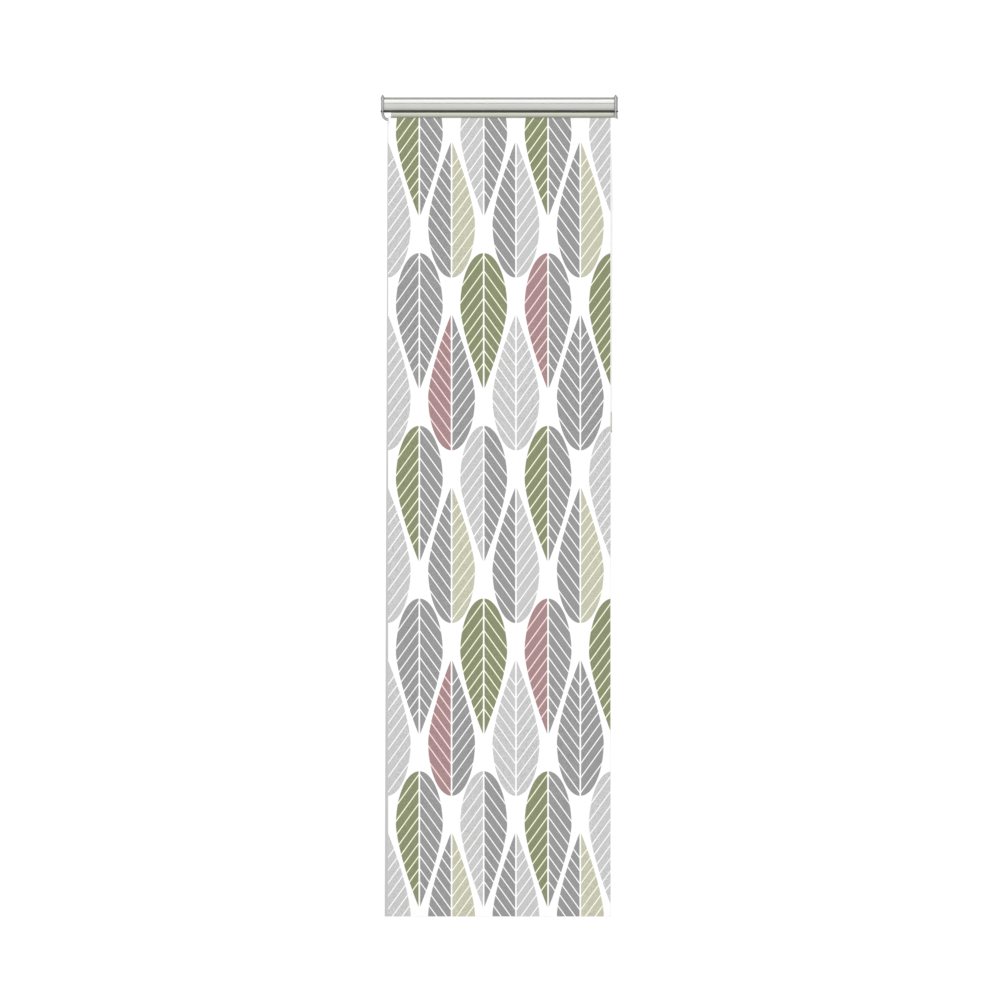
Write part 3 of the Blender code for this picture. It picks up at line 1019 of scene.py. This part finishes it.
def plain_weave(name, colour):
    """A woven finish; the colour is a function of the tree."""
    made, tree, shader = new_finish(name, 0.9, sheen=0.1)
    drift = noise(tree, (3.0, 3.0, 6.0), detail=3.0) * 0.1 + 0.95
    tree.links.new(shade(tree, colour(tree), drift), shader.inputs["Base Color"])
    bump(tree, shader, weave(tree, 0.8, 0.12))
    return made


def white_colour(tree):
    cloud = noise(tree, (9.0, 9.0, 9.0))
    return mix(tree, cloud, (GROUND - 0.02,) * 3, (GROUND + 0.02,) * 3)


def brushed_metal(name, colour, roughness):
    """Metal with fine drawn lines along X."""
    made, tree, shader = new_finish(name, roughness, 1.0)
    lines = noise(tree, (160.0, 0.5, 0.5), detail=3.0)
    cloud = noise(tree, (60.0, 20.0, 20.0), seed=2.0)
    base = mix(tree, cloud, tone(colour, 0.97), tone(colour, 1.03))
    tree.links.new(base, shader.inputs["Base Color"])
    tree.links.new((lines * 0.12 + (roughness - 0.06)).socket, shader.inputs["Roughness"])
    bump(tree, shader, lines * 0.01)
    return made


# ---- stage

FLOOR_DROP = 28.0  # from the cloth's foot
SIDE_DIMMING = 0.45
SIDE_LIGHT = 0.2
SKY = (
    # sine of the height above the horizon, brightness
    (0.0, 1.03),
    (0.17, 1.2),
    (0.36, 1.42),
    (0.64, 1.5),
    (0.87, 0.65),
    (1.0, 0.35),
)


def floor():
    """A wide pale floor, a little under the cloth's foot."""
    half = 60.0
    level = (CLOTH_LOW.z - FLOOR_DROP) * MM
    shape = bmesh.new()
    corners = ((-half, -half), (half, -half), (half, half), (-half, half))
    shape.faces.new([shape.verts.new((x, y, level)) for x, y in corners])
    mesh = bpy.data.meshes.new("floor")
    shape.to_mesh(mesh)
    shape.free()
    made, tree, shader = new_finish("pale_floor", 0.7)
    cloud = noise(tree, (900.0, 900.0, 900.0))
    tree.links.new(mix(tree, cloud, (0.62, 0.62, 0.62), (0.66, 0.66, 0.655)), shader.inputs["Base Color"])
    mesh.materials.append(made)
    ground = bpy.data.objects.new("floor", mesh)
    bpy.context.scene.collection.objects.link(ground)


def sky():
    """Soft light from all round: brightest half way up, dim overhead and to the sides."""
    world = bpy.data.worlds.new("studio")
    world.use_nodes = True
    bpy.context.scene.world = world
    tree = world.node_tree
    spot = tree.nodes.new("ShaderNodeTexCoord")
    parts = tree.nodes.new("ShaderNodeSeparateXYZ")
    tree.links.new(spot.outputs["Generated"], parts.inputs[0])
    across, _, up = [Term(tree, part) for part in parts.outputs]
    ramp = tree.nodes.new("ShaderNodeValToRGB")
    steps = ramp.color_ramp.elements
    for i, (height, brightness) in enumerate(SKY):
        step = steps[i] if i < 2 else steps.new(height)
        step.position = height
        step.color = (brightness, brightness, brightness, 1.0)
    tree.links.new(up.between(0.0, 1.0).socket, ramp.inputs[0])
    sideways = across.absolute().power(2.0) * SIDE_DIMMING
    dim = mix(tree, sideways, ramp.outputs[0], (SIDE_LIGHT,) * 3)
    tree.links.new(dim, tree.nodes["Background"].inputs["Color"])


def sun(name, azimuth, elevation, strength, spread):
    """A broad soft lamp, far off: azimuth 0 is straight ahead of the panel, 90 to its right."""
    lamp = bpy.data.lights.new(name, "SUN")
    lamp.energy = strength
    lamp.angle = math.radians(spread)
    made = bpy.data.objects.new(name, lamp)
    a, e = math.radians(azimuth), math.radians(elevation)
    towards = Vector((math.sin(a) * math.cos(e), -math.cos(a) * math.cos(e), math.sin(e)))
    made.rotation_euler = towards.to_track_quat("Z", "Y").to_euler()
    made.location = towards * 4
    bpy.context.scene.collection.objects.link(made)


def camera():
    """Level and square on, with no perspective, and a little off the part's middle."""
    frame_side = 2.69
    across, up = 0.0017, 0.0152
    low, high = CAD_BOX
    lens = bpy.data.cameras.new("camera")
    lens.type = "ORTHO"
    lens.ortho_scale = frame_side
    lens.clip_end = 200.0
    made = bpy.data.objects.new("camera", lens)
    made.location = ((low.x + high.x) / 2 + across, -8.0, (low.z + high.z) / 2 + up)
    made.rotation_euler = (math.radians(90), 0, 0)
    bpy.context.scene.collection.objects.link(made)
    bpy.context.scene.camera = made


def main():
    silver = brushed_metal("silver", (0.60, 0.60, 0.58), 0.30)
    # The clips' ridge and flank colours are lit and shaded copies of one metal, the flank a little
    # rougher: painted light and shade.
    polished_ridge_lit_paint = clip_metal("clip_ridge", (0.53, 0.53, 0.525), 0.32, 0.0, 7.0)
    rougher_flank_shade_paint = clip_metal("clip_flank", (0.40, 0.40, 0.395), 0.36, -3.0, 6.0)
    dark = mottled("dark", (0.032, 0.032, 0.028), 0.15, (40.0, 3.0, 3.0), 0.55, grain=0.02)
    grey = mottled("grey", (0.28, 0.28, 0.275), 0.06, (5.0, 5.0, 5.0), 0.5, grain=0.02)
    nose_shade_paint = nose_painted_shade()
    cream = cream_with_painted_shade()
    front = printed_cloth("print_front", 1.0)
    back = printed_cloth("print_back", BACK_STRENGTH)
    rim = plain_weave("cut_edge", white_colour)
    tape = plain_weave("tape", tape_colour)

    head_rail(silver, nose_shade_paint)
    rail_strip(dark)
    carrier_bar(cream)
    for side in (-1, 1):
        rail_end(side, grey)
        rail_clip(side, polished_ridge_lit_paint, rougher_flank_shade_paint)
    panel = cloth_panel(front, back, rim)
    tab = side_tab(tape)

    floor()
    sky()
    sun("key", -15, 45, 1.0, 25)
    camera()
    bpy.context.scene.view_settings.view_transform = "Standard"


main()
